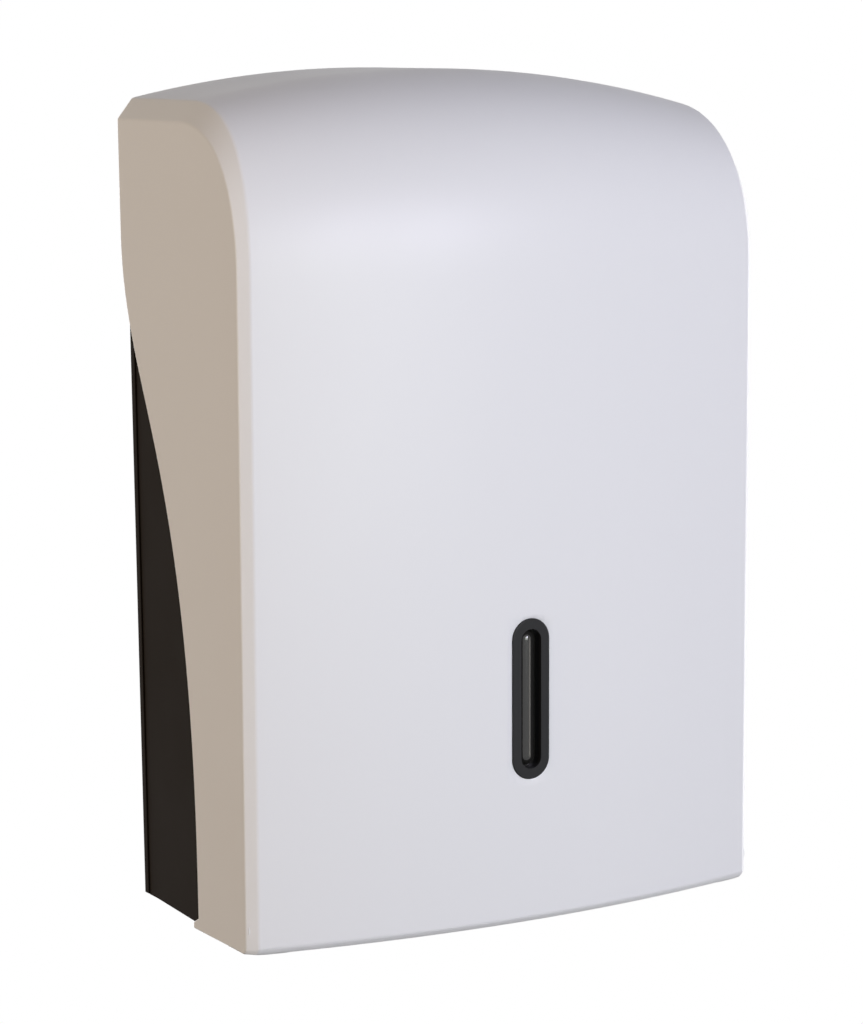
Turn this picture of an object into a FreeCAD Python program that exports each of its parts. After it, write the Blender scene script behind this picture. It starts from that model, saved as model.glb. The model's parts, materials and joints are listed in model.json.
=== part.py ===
import FreeCAD
import Part
import math
import os

# Wall-mounted dispenser for folded paper towels.
# X runs along the wall, the wall is the plane Y = 0 and the front faces -Y.
# Heights in this file are measured from the cover's lower edge. Each piece is
# lowered at the end, so that the origin is the centre of the wall screws.

# Overall sizes of the cover
cover_width = 285.0
cover_wall = 2.6
side_height = 390.5
side_depth = 125.5
top_fall = 6.5
front_lean = 8.0
front_bulge = 16.8
crown_rise = 16.6
corner_front = 4.8
corner_top = 9.4
strip_rise_share = 1.27
shoulder_run = 61.0
shoulder_drop = 69.6
shoulder_fullness_share = 0.64
hem_depth = 2.7
hem_height = 3.75
wall_gap = 0.8
section_shares = (-1.0, -0.5, 0.0, 0.5, 1.0)

# Rear edge of the cover's flanks, from the toe up to the wall
flank_depth = 73.0
flank_low = 28.0
flank_top_gap = 55.5
flank_low_share = 0.67
flank_high_share = 0.26
toe_length = 5.6
toe_height = 6.2
toe_drop = 2.8

# Lower lip of the cover and its hinge
lip_thickness = 2.6
lip_reach = 14.0
hinge_setback = 4.5
hinge_height = 12.0
boss_radius = 6.5
boss_length = 9.0
boss_bore_depth = 7.0
lug_gap = 0.6
lug_thickness = 6.0
lug_radius = 7.5
lug_arm_drop = 4.5
notch_reach = 7.0
notch_gap = 1.0
pin_radius = 2.5
pin_head_radius = 4.5
pin_head_thickness = 1.5
bush_wall = 1.5
bush_flange_radius = 5.5
bush_flange_thickness = 0.8
pin_end_play = 0.3
running_gap = 0.05
press_gap = 0.02
seat_gap = 0.3
swing_gap = 1.1

# Ribs inside the cover's front
front_rib_spacing = 120.0
front_rib_width = 2.0
front_rib_height = 4.0
front_rib_low = 34.0
front_rib_top_gap = 20.9

# Tray
tray_gap = 1.5
tray_lift = 2.9
tray_wall = 3.0
tray_back = 3.2
tray_top_gap = 8.0
head_gap = 2.5
tray_top_margin = 1.7
tray_sill = 40.0
tray_slope_drop = 79.9
tray_floor_rise = 2.8
tray_lip_height = 20.0
rim_depth = 4.5
rim_step = 0.8
back_rib_spacing = 35.0
back_rib_count = 4
back_rib_width = 2.2
back_rib_height = 4.0
back_rib_margin = 24.0
pocket_depth = 1.2
pocket_margin = 12.0
pocket_bridge = 14.0

# Wall screws
wall_screw_height = 205.0
wall_screw_side_gap = 14.1
wall_screw_spacing_z = 160.0
wall_hole_radius = 2.75
wall_boss_radius = 8.0
wall_boss_height = 3.0

# Throat plate under the towels
throat_side_gap = 15.6
throat_front_gap = 4.5
throat_rear_gap = 12.8
throat_plate_thickness = 2.5
throat_margin_x = 24.0
throat_margin_y = 22.0
throat_overlap = 8.0
throat_corner = 8.0
collar_wall = 6.0
collar_rise = 4.0
collar_round = 2.4
throat_screw_inset = 4.0

# Towel guides
guide_foot_width = 18.0
guide_thickness = 2.0
guide_clearance = 4.5
guide_front_gap = 21.5
guide_setback = 4.0
guide_floor_gap = 5.3
guide_top_gap = 50.0
guide_sill = 60.0
guide_screw_inset = 30.0

# Small screws
screw_head_radius = 3.4
screw_head_height = 2.2
screw_shank_radius = 1.5
screw_length = 5.0
recess_length = 3.4
recess_width = 0.8
recess_depth = 1.0
screw_boss_radius = 4.0
screw_end_gap = 0.5

# Lock in the crown
lock_depth = 26.0
lock_seat_depth = 2.2
lock_pad_radius = 13.0
lock_pad_depth = 5.4
barrel_radius = 8.0
barrel_length = 16.7
barrel_flange_radius = 9.5
barrel_flange_thickness = 1.6
barrel_recess_gap = 0.3
plug_radius = 5.5
plug_drop = 0.3
key_slot_length = 7.0
key_slot_width = 1.6
key_slot_depth = 4.0
nut_flats = 20.0
nut_sides = 6
nut_thickness = 4.0
lock_washer_radius = 11.0
lock_washer_thickness = 1.0
cam_length = 20.0
cam_width = 8.0
cam_hub_radius = 7.0
cam_thickness = 2.0
cam_square = 6.0
cam_play = 0.1
cam_washer_radius = 5.0
cam_washer_thickness = 0.8
cam_screw_radius = 2.0
cam_screw_length = 7.0
cam_head_radius = 4.0
cam_head_height = 2.4

# Keeper that the lock's cam turns behind
keeper_thickness = 1.5
keeper_side_gap = 4.0
keeper_width = 18.0
keeper_foot = 22.0
keeper_cam_gap = 0.8
keeper_overlap = 5.0
keeper_screw_spacing = 10.0

# Buffers that the closed cover rests on
buffer_radius = 4.5
buffer_height = 3.0
buffer_stem_radius = 2.0
buffer_stem_length = 4.0
buffer_block_width = 13.0
buffer_block_depth = 6.0
buffer_block_height = 22.0
stop_rib_thickness = 2.5
stop_rib_height = 30.0
stop_rib_overlap = 2.0

# Level window in the cover's front
window_height = 110.6
bezel_width = 20.6
bezel_height = 78.4
bezel_flange = 1.0
bezel_proud = 0.8
bezel_depth = 6.5
bezel_round = 0.6
bezel_rim_side = 4.75
bezel_rim_end = 5.2
window_fit = 0.2
lens_flange = 1.2
lens_flange_thickness = 1.5
lens_side_gap = 0.55
lens_centre_drop = 0.1
lens_wall = 1.2
lens_end_gap = 0.5
retainer_rim = 3.6
retainer_thickness = 2.0
retainer_skirt = 2.0
retainer_lap_side = 1.55
retainer_lap_end = 3.0
window_screw_inset = 2.0
window_screw_radius = 0.9
window_screw_length = 5.0
window_head_radius = 1.9
window_head_height = 1.2

# One overrun for every cut that runs past a face
overrun = 5.0

# Places worked out from the sizes above
half_width = cover_width / 2
inner_half = half_width - cover_wall
lean = front_lean / side_height
fall = top_fall / side_depth
hinge_depth = side_depth - hinge_setback
lip_swing = math.hypot(lip_reach, hinge_height)
tray_half = inner_half - tray_gap
tray_side = tray_half - rim_step
tray_inside = tray_side - tray_wall
flank_high = side_height - flank_top_gap
front_rib_high = side_height - shoulder_drop - front_rib_top_gap
tray_front_depth = hinge_depth - lip_swing - swing_gap
tray_top = side_height - cover_wall - tray_top_gap
tray_slope_top = tray_top - tray_slope_drop
tray_floor = tray_lift + tray_floor_rise
tray_floor_top = tray_floor + tray_wall
boss_end = inner_half - boss_length
lug_outer = boss_end - lug_gap
lug_inner = lug_outer - lug_thickness
lock_seat = side_height + corner_top + crown_rise - fall * lock_depth - lock_seat_depth
lock_pad_bottom = lock_seat - lock_pad_depth
barrel_bottom = lock_seat - barrel_length
cam_top = barrel_bottom - plug_drop
cam_bottom = cam_top - cam_thickness
keeper_depth = lock_depth + cam_width / 2 + keeper_cam_gap
keeper_start = barrel_radius + keeper_side_gap
tray_top_depth = keeper_depth + keeper_thickness + tray_top_margin
guide_outer = tray_inside - guide_clearance
guide_low_depth = tray_front_depth - guide_front_gap
guide_high_depth = tray_top_depth - guide_setback
guide_bottom = tray_floor_top + throat_plate_thickness + guide_floor_gap
guide_top = tray_top - guide_top_gap
wall_screw_side = guide_outer - guide_foot_width - wall_screw_side_gap - wall_boss_radius
throat_half_x = tray_inside - throat_side_gap
throat_front = tray_front_depth - tray_wall - throat_front_gap
throat_rear = tray_back + throat_rear_gap
throat_half_y = (throat_front - throat_rear) / 2
throat_centre_depth = (throat_front + throat_rear) / 2
throat_width = 2 * (throat_half_x - throat_margin_x)
throat_depth = 2 * (throat_half_y - throat_margin_y)
window_width = bezel_width - 2 * bezel_rim_side
window_length = bezel_height - 2 * bezel_rim_end
lens_radius = window_width / 2 - lens_side_gap
retainer_slot_width = window_width - 2 * retainer_lap_side
retainer_slot_length = window_length - 2 * retainer_lap_end
retainer_front = cover_wall + seat_gap


def vec(x, y, z):
    return FreeCAD.Vector(x, y, z)


def block(x_low, x_high, y_low, y_high, z_low, z_high):
    corner = vec(x_low, y_low, z_low)
    return Part.makeBox(x_high - x_low, y_high - y_low, z_high - z_low, corner)


def rod(radius, length, start, direction):
    return Part.makeCylinder(radius, length, start, direction)


def along_x(outline, x_low, x_high):
    """A solid with an outline of (y, z) points, from one X to another."""
    points = [vec(x_low, y, z) for y, z in outline]
    face = Part.Face(Part.makePolygon(points + points[:1]))
    return face.extrude(vec(x_high - x_low, 0, 0))


def mirrored(shape):
    return shape.mirror(vec(0, 0, 0), vec(1, 0, 0))


def both_sides(shape):
    return [shape, mirrored(shape)]


def bezier(points):
    curve = Part.BezierCurve()
    curve.setPoles(points)
    return curve.toShape()


def stadium(width, length, thickness):
    """A slab with round ends, its length along Y and its thickness up from Z = 0."""
    radius = width / 2
    straight = (length - width) / 2
    right = Part.makeLine(vec(radius, -straight, 0), vec(radius, straight, 0))
    top = Part.Arc(vec(radius, straight, 0), vec(0, straight + radius, 0), vec(-radius, straight, 0))
    left = Part.makeLine(vec(-radius, straight, 0), vec(-radius, -straight, 0))
    low = Part.Arc(vec(-radius, -straight, 0), vec(0, -straight - radius, 0), vec(radius, -straight, 0))
    wire = Part.Wire([right, top.toShape(), left, low.toShape()])
    return Part.Face(wire).extrude(vec(0, 0, thickness))


def pan_screw(head_radius, head_height, shank_radius, length):
    """A screw that points down, with the underside of its head at Z = 0."""
    head = rod(head_radius, head_height, vec(0, 0, 0), vec(0, 0, 1))
    head = head.makeFillet(head_height / 2, [head.Edges[0]])
    shank = rod(shank_radius, length, vec(0, 0, -length), vec(0, 0, 1))
    shape = head.fuse(shank).removeSplitter()
    share = head_radius / screw_head_radius
    half_long = recess_length * share / 2
    half_wide = recess_width * share / 2
    floor = head_height - recess_depth * share
    for turn in (0, 90):
        slot = block(-half_long, half_long, -half_wide, half_wide, floor, head_height + overrun)
        slot.rotate(vec(0, 0, 0), vec(0, 0, 1), turn)
        shape = shape.cut(slot)
    return shape


def small_screw():
    return pan_screw(screw_head_radius, screw_head_height, screw_shank_radius, screw_length)


def save(name, *solids):
    """Lowers the solids to the part's own frame and writes them as one node."""
    shapes = []
    for solid in solids:
        shape = solid.copy()
        shape.translate(vec(0, 0, -wall_screw_height))
        shapes.append(shape)
    shape = shapes[0] if len(shapes) == 1 else Part.makeCompound(shapes)
    count = len(shape.Solids)
    print(name, "solids", count, "volume", round(shape.Volume), "valid", shape.isValid())
    shape.exportStep("parts/" + name + ".step")


# Cover shell

def cover_section(x, forward, upward, inset, rear, lowest, hemmed):
    """One upright section of the cover, as a closed wire at a given X."""
    front = side_depth + forward - inset
    top = side_height + upward - inset
    corner_z = (top - fall * front) / (1 + fall * lean)
    corner = vec(x, -front - lean * corner_z, corner_z)
    run = shoulder_run + forward - inset
    drop = shoulder_drop + upward - inset
    top_end = corner + vec(0, run, fall * run)
    front_end = corner + vec(0, lean * drop, -drop)
    top_pull = top_end + (corner - top_end) * shoulder_fullness_share
    front_pull = front_end + (corner - front_end) * shoulder_fullness_share
    rear_top = vec(x, rear, top + fall * rear)
    rear_low = vec(x, rear, lowest)
    edges = [Part.makeLine(rear_low, rear_top)]
    edges.append(Part.makeLine(rear_top, top_end))
    edges.append(bezier([top_end, top_pull, front_pull, front_end]))
    if hemmed:
        hem_top = vec(x, -front - lean * hem_height, hem_height)
        hem_run = hem_depth * (hem_height - lowest) / hem_height
        low_front = vec(x, hem_top.y + hem_run, lowest)
        edges.append(Part.makeLine(front_end, hem_top))
        edges.append(Part.makeLine(hem_top, low_front))
    else:
        low_front = vec(x, -front - lean * lowest, lowest)
        edges.append(Part.makeLine(front_end, low_front))
    edges.append(Part.makeLine(low_front, rear_low))
    return Part.Wire(edges)


def bow(x):
    """How much of the bulge and the crown a section has, 1 at the middle."""
    edge = half_width - corner_front
    return 1 - (x / edge) ** 2


def cover_form(inset, rear, lowest, hemmed):
    """The cover's full form: bowed front and crown, trimmed by the bevelled strips."""
    reach = half_width + overrun - inset
    bowed = []
    for share in section_shares:
        x = share * reach
        forward = corner_front + front_bulge * bow(x)
        upward = corner_top + crown_rise * bow(x)
        bowed.append(cover_section(x, forward, upward, inset, rear, lowest, hemmed))
    side = half_width - inset
    flare = corner_top + crown_rise + front_bulge
    strips = []
    for x, spread in ((-side, 0), (flare - side, flare), (side - flare, flare), (side, 0)):
        rise = spread * strip_rise_share
        strips.append(cover_section(x, spread, rise, inset, rear + overrun, lowest - overrun, hemmed))
    return Part.makeLoft(bowed, True, False).common(Part.makeLoft(strips, True, True))


def flank_cutter():
    """What the cover's sides leave open at the lower rear, right across the cover."""
    x = -half_width - overrun
    rise = flank_high - flank_low
    low = vec(x, -flank_depth, flank_low)
    high = vec(x, -wall_gap, flank_high)
    low_pull = vec(x, -flank_depth, flank_low + flank_low_share * rise)
    high_pull = vec(x, -wall_gap, flank_high - flank_high_share * rise)
    toe_top = vec(x, -flank_depth, toe_height)
    toe_end = vec(x, toe_length - flank_depth, toe_height - toe_drop)
    toe_low = vec(x, toe_length - flank_depth, -overrun)
    rear_low = vec(x, overrun, -overrun)
    rear_high = vec(x, overrun, flank_high)
    edges = Part.makePolygon([high, rear_high, rear_low, toe_low, toe_end, toe_top, low]).Edges
    edges.append(bezier([low, low_pull, high_pull, high]))
    return Part.Face(Part.Wire(edges)).extrude(vec(cover_width + 2 * overrun, 0, 0))


def on_front(shape, height):
    """Turns a slab drawn flat to lie on the cover's front, its top face outwards."""
    shape = shape.copy()
    shape.rotate(vec(0, 0, 0), vec(1, 0, 0), 90 + math.degrees(math.atan(lean)))
    depth = side_depth + corner_front + front_bulge + lean * height
    shape.translate(vec(0, -depth, height))
    return shape


def window_slab(width, length, deep, shallow):
    """A stadium in the window's place, between two depths behind the front face."""
    slab = stadium(width, length, deep - shallow)
    slab.translate(vec(0, 0, -deep))
    return on_front(slab, window_height)


def window_hole():
    width = bezel_width - 2 * bezel_flange + 2 * window_fit
    length = bezel_height - 2 * bezel_flange + 2 * window_fit
    return window_slab(width, length, overrun, -overrun)


def hinge_rod(radius, x_low, x_high):
    return rod(radius, x_high - x_low, vec(x_low, -hinge_depth, hinge_height), vec(1, 0, 0))


def front_rib(x):
    """An upright rib on the inside of the front, at a given X."""
    face = side_depth + corner_front + front_bulge * bow(abs(x) + front_rib_width) - cover_wall
    outline = [
        (-face - lean * front_rib_low - cover_wall / 2, front_rib_low),
        (-face - lean * front_rib_high - cover_wall / 2, front_rib_high),
        (-face - lean * front_rib_high, front_rib_high + front_rib_height),
        (-face - lean * front_rib_high + front_rib_height, front_rib_high),
        (-face - lean * front_rib_low + front_rib_height, front_rib_low),
    ]
    return along_x(outline, x - front_rib_width / 2, x + front_rib_width / 2)


def stop_rib():
    """The rib on the cover's side that meets the buffer."""
    rear = tray_top_depth + buffer_height + seat_gap
    start = tray_inside - buffer_block_width - stop_rib_overlap
    top = tray_top
    return block(
        start, inner_half + cover_wall / 2,
        -rear - stop_rib_thickness, -rear,
        top - stop_rib_height, top,
    )


def front_cover():
    outer = cover_form(0, -wall_gap, 0, True)
    inner = cover_form(cover_wall, overrun, lip_thickness, False)
    shape = outer.cut(inner)
    lip_end = hinge_depth - lip_reach
    shape = shape.cut(block(-inner_half, inner_half, -lip_end, overrun, -overrun, lip_thickness + overrun))
    notch = block(
        lug_inner - notch_gap, lug_outer + notch_gap,
        -hinge_depth - notch_reach, overrun,
        -overrun, lip_thickness + lip_thickness / 2,
    )
    for cut in both_sides(notch):
        shape = shape.cut(cut)
    shape = shape.cut(flank_cutter()).cut(window_hole())
    added = both_sides(hinge_rod(boss_radius, boss_end, inner_half + cover_wall / 2).common(outer))
    added += both_sides(stop_rib().common(outer))
    added += both_sides(front_rib(front_rib_spacing / 2))
    pad = rod(lock_pad_radius, lock_pad_depth + overrun, vec(0, -lock_depth, lock_pad_bottom), vec(0, 0, 1))
    added.append(pad.common(outer))
    shape = shape.fuse(added)
    pin_bore = hinge_rod(pin_radius + press_gap, boss_end - overrun, boss_end + boss_bore_depth)
    for bore in both_sides(pin_bore):
        shape = shape.cut(bore)
    recess = rod(
        barrel_flange_radius + barrel_recess_gap, lock_pad_depth,
        vec(0, -lock_depth, lock_seat), vec(0, 0, 1),
    )
    hole = rod(
        barrel_radius + running_gap, lock_pad_depth + 2 * overrun,
        vec(0, -lock_depth, lock_pad_bottom - overrun), vec(0, 0, 1),
    )
    return shape.cut(recess).cut(hole)


# Hinge

def hinge_pin():
    head_start = lug_inner - bush_flange_thickness - pin_end_play - pin_head_thickness
    head = hinge_rod(pin_head_radius, head_start, head_start + pin_head_thickness)
    shank = hinge_rod(pin_radius, head_start + pin_head_thickness, boss_end + boss_bore_depth - press_gap)
    return head.fuse(shank)


def hinge_bush():
    sleeve = hinge_rod(pin_radius + bush_wall, lug_inner, lug_outer)
    flange = hinge_rod(bush_flange_radius, lug_inner - bush_flange_thickness, lug_inner)
    bore = hinge_rod(pin_radius + running_gap, lug_inner - overrun, lug_outer + overrun)
    return sleeve.fuse(flange).cut(bore)


# Level window

def window_bezel():
    flange = stadium(bezel_width, bezel_height, bezel_proud)
    rim = [edge for edge in flange.Edges if edge.BoundBox.ZMin > bezel_proud / 2]
    flange = flange.makeFillet(bezel_round, rim)
    body = stadium(bezel_width - 2 * bezel_flange, bezel_height - 2 * bezel_flange, bezel_depth)
    body.translate(vec(0, 0, -bezel_depth))
    shape = flange.fuse(body)
    bore = stadium(window_width, window_length, bezel_depth + 2 * overrun)
    bore.translate(vec(0, 0, -bezel_depth - overrun))
    shape = shape.cut(bore)
    pocket = stadium(
        window_width + 2 * lens_flange, window_length + 2 * lens_flange,
        lens_flange_thickness + overrun,
    )
    pocket.translate(vec(0, 0, -bezel_depth - overrun))
    shape = shape.cut(pocket)
    for hole in window_screw_rods(window_screw_radius + press_gap, -bezel_depth + window_screw_length):
        shape = shape.cut(hole)
    return on_front(shape, window_height)


def window_screw_place():
    return window_length / 2 + window_screw_inset


def window_screw_rods(radius, top):
    rods = []
    for side in (-1, 1):
        start = vec(0, side * window_screw_place(), -bezel_depth - retainer_thickness - overrun)
        rods.append(rod(radius, top - start.z, start, vec(0, 0, 1)))
    return rods


def capsule(radius, length, centre_z):
    """A rod with round ends along Y, centred at a given Z."""
    straight = length - 2 * radius
    shape = rod(radius, straight, vec(0, -straight / 2, centre_z), vec(0, 1, 0))
    for side in (-1, 1):
        shape = shape.fuse(Part.makeSphere(radius, vec(0, side * straight / 2, centre_z)))
    return shape


def window_lens():
    centre = -bezel_depth - lens_centre_drop
    width = window_width + 2 * lens_flange - 2 * window_fit
    length = window_length + 2 * lens_flange - 2 * window_fit
    flange = stadium(width, length, lens_flange_thickness)
    flange.translate(vec(0, 0, -bezel_depth))
    dome_length = window_length - 2 * lens_end_gap
    dome = capsule(lens_radius, dome_length, centre)
    hollow = capsule(lens_radius - lens_wall, dome_length - 2 * lens_wall, centre)
    keep = block(-bezel_width, bezel_width, -bezel_height, bezel_height, -bezel_depth, overrun)
    shape = flange.fuse(dome.common(keep)).cut(hollow)
    return on_front(shape, window_height)


def window_retainer():
    width = bezel_width + 2 * retainer_rim
    length = bezel_height + 2 * retainer_rim
    plate = stadium(width, length, retainer_thickness)
    plate.translate(vec(0, 0, -bezel_depth - retainer_thickness))
    skirt_height = bezel_depth - retainer_front
    skirt = stadium(width, length, skirt_height)
    core = stadium(width - 2 * retainer_skirt, length - 2 * retainer_skirt, skirt_height)
    skirt = skirt.cut(core)
    skirt.translate(vec(0, 0, -bezel_depth))
    slot = stadium(retainer_slot_width, retainer_slot_length, retainer_thickness + 2 * overrun)
    slot.translate(vec(0, 0, -bezel_depth - retainer_thickness - overrun))
    shape = plate.fuse(skirt).cut(slot)
    for hole in window_screw_rods(window_screw_radius + running_gap, overrun):
        shape = shape.cut(hole)
    return on_front(shape, window_height)


def window_screws():
    screws = []
    for side in (-1, 1):
        length = retainer_thickness + window_screw_length
        shape = pan_screw(window_head_radius, window_head_height, window_screw_radius, length)
        shape.rotate(vec(0, 0, 0), vec(1, 0, 0), 180)
        shape.translate(vec(0, side * window_screw_place(), -bezel_depth - retainer_thickness))
        screws.append(on_front(shape, window_height))
    return screws


# Tray

def tray_side_wall():
    outline = [
        (0, tray_lift),
        (-flank_depth, 0),
        (-tray_front_depth, 0),
        (-tray_front_depth, tray_lift + tray_sill),
        (-tray_top_depth, tray_slope_top),
        (-tray_top_depth, tray_top),
        (0, tray_top),
    ]
    return along_x(outline, tray_inside, tray_side)


def hinge_lug():
    outline = [
        (-hinge_depth, hinge_height - lug_arm_drop),
        (-hinge_depth, hinge_height + lug_radius),
        (-tray_front_depth, tray_lift + tray_lip_height),
        (-tray_front_depth, hinge_height - lug_arm_drop),
    ]
    return along_x(outline, lug_inner, lug_outer).fuse(hinge_rod(lug_radius, lug_inner, lug_outer))


def wall_screw_places():
    places = []
    for x in (-wall_screw_side, wall_screw_side):
        for z in (-wall_screw_spacing_z / 2, wall_screw_spacing_z / 2):
            places.append((x, wall_screw_height + z))
    return places


def head_plate():
    """The top of the back plate, which closes the crown against the wall."""
    ceiling = side_height - cover_wall - head_gap
    strip = inner_half - corner_top / strip_rise_share - head_gap
    left = vec(-strip, 0, ceiling + corner_top)
    right = vec(strip, 0, ceiling + corner_top)
    crown = vec(0, 0, ceiling + corner_top + crown_rise)
    corners = [left, vec(-tray_side, 0, ceiling), vec(-tray_side, 0, tray_top - tray_wall)]
    corners += [vec(tray_side, 0, tray_top - tray_wall), vec(tray_side, 0, ceiling), right]
    edges = Part.makePolygon(corners).Edges
    edges.append(Part.Arc(right, crown, left).toShape())
    return Part.Face(Part.Wire(edges)).extrude(vec(0, -tray_back, 0))


def back_pockets():
    """Shallow pockets in the back face, with bridges left around the screws."""
    left = -tray_half + pocket_margin
    low = tray_lift + pocket_margin
    high = tray_top - pocket_margin
    column = wall_screw_side - wall_boss_radius
    middle = wall_screw_height
    pockets = []
    for z_low, z_high in ((low, middle - pocket_bridge / 2), (middle + pocket_bridge / 2, high)):
        pockets.append(block(-column, -pocket_bridge / 2, -pocket_depth, overrun, z_low, z_high))
        pockets.append(block(pocket_bridge / 2, column, -pocket_depth, overrun, z_low, z_high))
        edge = wall_screw_side + wall_boss_radius
        pockets.append(block(left, -edge, -pocket_depth, overrun, z_low, z_high))
        pockets.append(block(edge, -left, -pocket_depth, overrun, z_low, z_high))
    return pockets


def throat_cutout_half():
    return throat_half_x - throat_overlap, throat_half_y - throat_overlap


def throat_screw_places():
    half_x = throat_half_x - throat_screw_inset
    half_y = throat_half_y - throat_screw_inset
    return [(sx * half_x, -throat_centre_depth + sy * half_y) for sx in (-1, 1) for sy in (-1, 1)]


def keeper_screw_places():
    middle = keeper_start + keeper_width / 2
    depth = keeper_depth - keeper_foot / 2
    return [(middle + side * keeper_screw_spacing / 2, -depth) for side in (-1, 1)]


def guide_screw_places():
    x = guide_outer - guide_foot_width + screw_head_radius + guide_thickness
    return [(x, guide_bottom + guide_screw_inset), (x, guide_top - guide_screw_inset)]


def buffer_centre():
    x = tray_inside - buffer_block_width / 2
    z = tray_top - tray_wall - buffer_block_height / 2
    return x, z


def tray():
    pieces = []
    pieces.append(block(-tray_side, tray_side, -tray_back, 0, tray_lift, tray_top))
    pieces.append(head_plate())
    rim = block(-tray_half, tray_half, -rim_depth, 0, tray_lift, tray_top)
    hollow = block(
        -tray_inside, tray_inside, -rim_depth - overrun, overrun,
        tray_lift + tray_wall, tray_top - tray_wall,
    )
    pieces.append(rim.cut(hollow))
    pieces += both_sides(tray_side_wall())
    pieces.append(block(-tray_side, tray_side, -tray_front_depth, 0, tray_floor, tray_floor_top))
    pieces.append(block(
        -tray_side, tray_side, -tray_front_depth, tray_wall - tray_front_depth,
        tray_lift, tray_lift + tray_lip_height,
    ))
    pieces.append(block(-tray_side, tray_side, -tray_top_depth, 0, tray_top - tray_wall, tray_top))
    pieces += both_sides(hinge_lug())
    for x, z in wall_screw_places():
        pieces.append(rod(wall_boss_radius, tray_back + wall_boss_height, vec(x, 0, z), vec(0, -1, 0)))
    for index in range(back_rib_count):
        x = (index - (back_rib_count - 1) / 2) * back_rib_spacing
        pieces.append(block(
            x - back_rib_width / 2, x + back_rib_width / 2, -tray_back - back_rib_height, 0,
            tray_lift + back_rib_margin, tray_top - back_rib_margin,
        ))
    for x, y in throat_screw_places():
        pieces.append(rod(screw_boss_radius, tray_floor_rise, vec(x, y, tray_lift), vec(0, 0, 1)))
    for x, y in keeper_screw_places():
        low = tray_top - tray_wall - tray_floor_rise
        pieces.append(rod(screw_boss_radius, tray_floor_rise, vec(x, y, low), vec(0, 0, 1)))
    x, z = buffer_centre()
    pieces += both_sides(block(
        x - buffer_block_width / 2, tray_side, -tray_top_depth, buffer_block_depth - tray_top_depth,
        z - buffer_block_height / 2, tray_top - tray_wall / 2,
    ))
    shape = pieces[0].fuse(pieces[1:]).removeSplitter()
    cuts = back_pockets()
    half_x, half_y = throat_cutout_half()
    cuts.append(block(
        -half_x, half_x, -throat_centre_depth - half_y, -throat_centre_depth + half_y,
        tray_lift - overrun, tray_floor_top + overrun,
    ))
    cuts += both_sides(hinge_rod(pin_radius + bush_wall + press_gap, lug_inner - overrun, boss_end))
    for x, z in wall_screw_places():
        length = tray_back + wall_boss_height + 2 * overrun
        cuts.append(rod(wall_hole_radius, length, vec(x, overrun, z), vec(0, -1, 0)))
    hole = screw_shank_radius + press_gap
    length = screw_length - throat_plate_thickness + screw_end_gap + overrun
    for x, y in throat_screw_places():
        cuts.append(rod(hole, length, vec(x, y, tray_floor_top + overrun), vec(0, 0, -1)))
    length = screw_length - keeper_thickness + screw_end_gap + overrun
    for x, y in keeper_screw_places():
        cuts.append(rod(hole, length, vec(x, y, tray_top + overrun), vec(0, 0, -1)))
    for x, z in guide_screw_places():
        for side in (-1, 1):
            cuts.append(rod(hole, tray_back + 2 * overrun, vec(side * x, overrun, z), vec(0, -1, 0)))
    x, z = buffer_centre()
    for side in (-1, 1):
        start = vec(side * x, -tray_top_depth - overrun, z)
        cuts.append(rod(buffer_stem_radius + press_gap, buffer_stem_length + overrun, start, vec(0, 1, 0)))
    return shape.cut(cuts)


def wall_room():
    """The room of the tray's right side wall, which starts in front of the rim."""
    return block(
        tray_inside, tray_half + overrun, -tray_front_depth - overrun, -rim_depth,
        -overrun, tray_top + overrun,
    )


def towel_guide():
    """The right guide: a foot on the back plate and a fin beside the towels."""
    outer = guide_outer
    bottom = guide_bottom
    top = guide_top
    foot_front = -tray_back - guide_thickness
    foot = block(outer - guide_foot_width, outer, foot_front, -tray_back, bottom, top)
    outline = [
        (-tray_back, bottom),
        (-guide_low_depth, bottom),
        (-guide_low_depth, bottom + guide_sill),
        (-guide_high_depth, top),
        (-tray_back, top),
    ]
    shape = foot.fuse(along_x(outline, outer - guide_thickness, outer)).removeSplitter()
    for x, z in guide_screw_places():
        shape = shape.cut(rod(screw_shank_radius + running_gap, 2 * overrun, vec(x, 0, z), vec(0, -1, 0)))
    return shape


def guide_screws():
    screws = []
    for x, z in guide_screw_places():
        for side in (-1, 1):
            shape = small_screw()
            shape.rotate(vec(0, 0, 0), vec(1, 0, 0), 90)
            shape.translate(vec(side * x, -tray_back - guide_thickness, z))
            screws.append(shape)
    return screws


def throat_plate():
    """The plate that the towels rest on, with a collared slot to pull them through."""
    low = tray_floor_top
    plate = block(
        -throat_half_x, throat_half_x, -throat_front, -throat_rear,
        low, low + throat_plate_thickness,
    )
    upright = [edge for edge in plate.Edges if edge.BoundBox.ZLength > throat_plate_thickness / 2]
    plate = plate.makeFillet(throat_corner, upright)
    collar_low = tray_lift
    height = low + throat_plate_thickness + collar_rise - collar_low
    collar = stadium(throat_depth + 2 * collar_wall, throat_width + 2 * collar_wall, height)
    slot = stadium(throat_depth, throat_width, height)
    collar = collar.cut(slot)
    ends = [edge for edge in collar.Edges if edge.BoundBox.ZLength < collar_round]
    collar = collar.makeFillet(collar_round, ends)
    for shape, bottom in ((collar, collar_low), (slot, low - overrun)):
        shape.rotate(vec(0, 0, 0), vec(0, 0, 1), 90)
        shape.translate(vec(0, -throat_centre_depth, bottom))
    opening = stadium(
        throat_depth + collar_wall, throat_width + collar_wall,
        throat_plate_thickness + 2 * overrun,
    )
    opening.rotate(vec(0, 0, 0), vec(0, 0, 1), 90)
    opening.translate(vec(0, -throat_centre_depth, low - overrun))
    shape = plate.cut(opening).fuse(collar)
    hole = screw_shank_radius + running_gap
    for x, y in throat_screw_places():
        shape = shape.cut(rod(hole, 2 * overrun, vec(x, y, low - overrun), vec(0, 0, 1)))
    return shape


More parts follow.
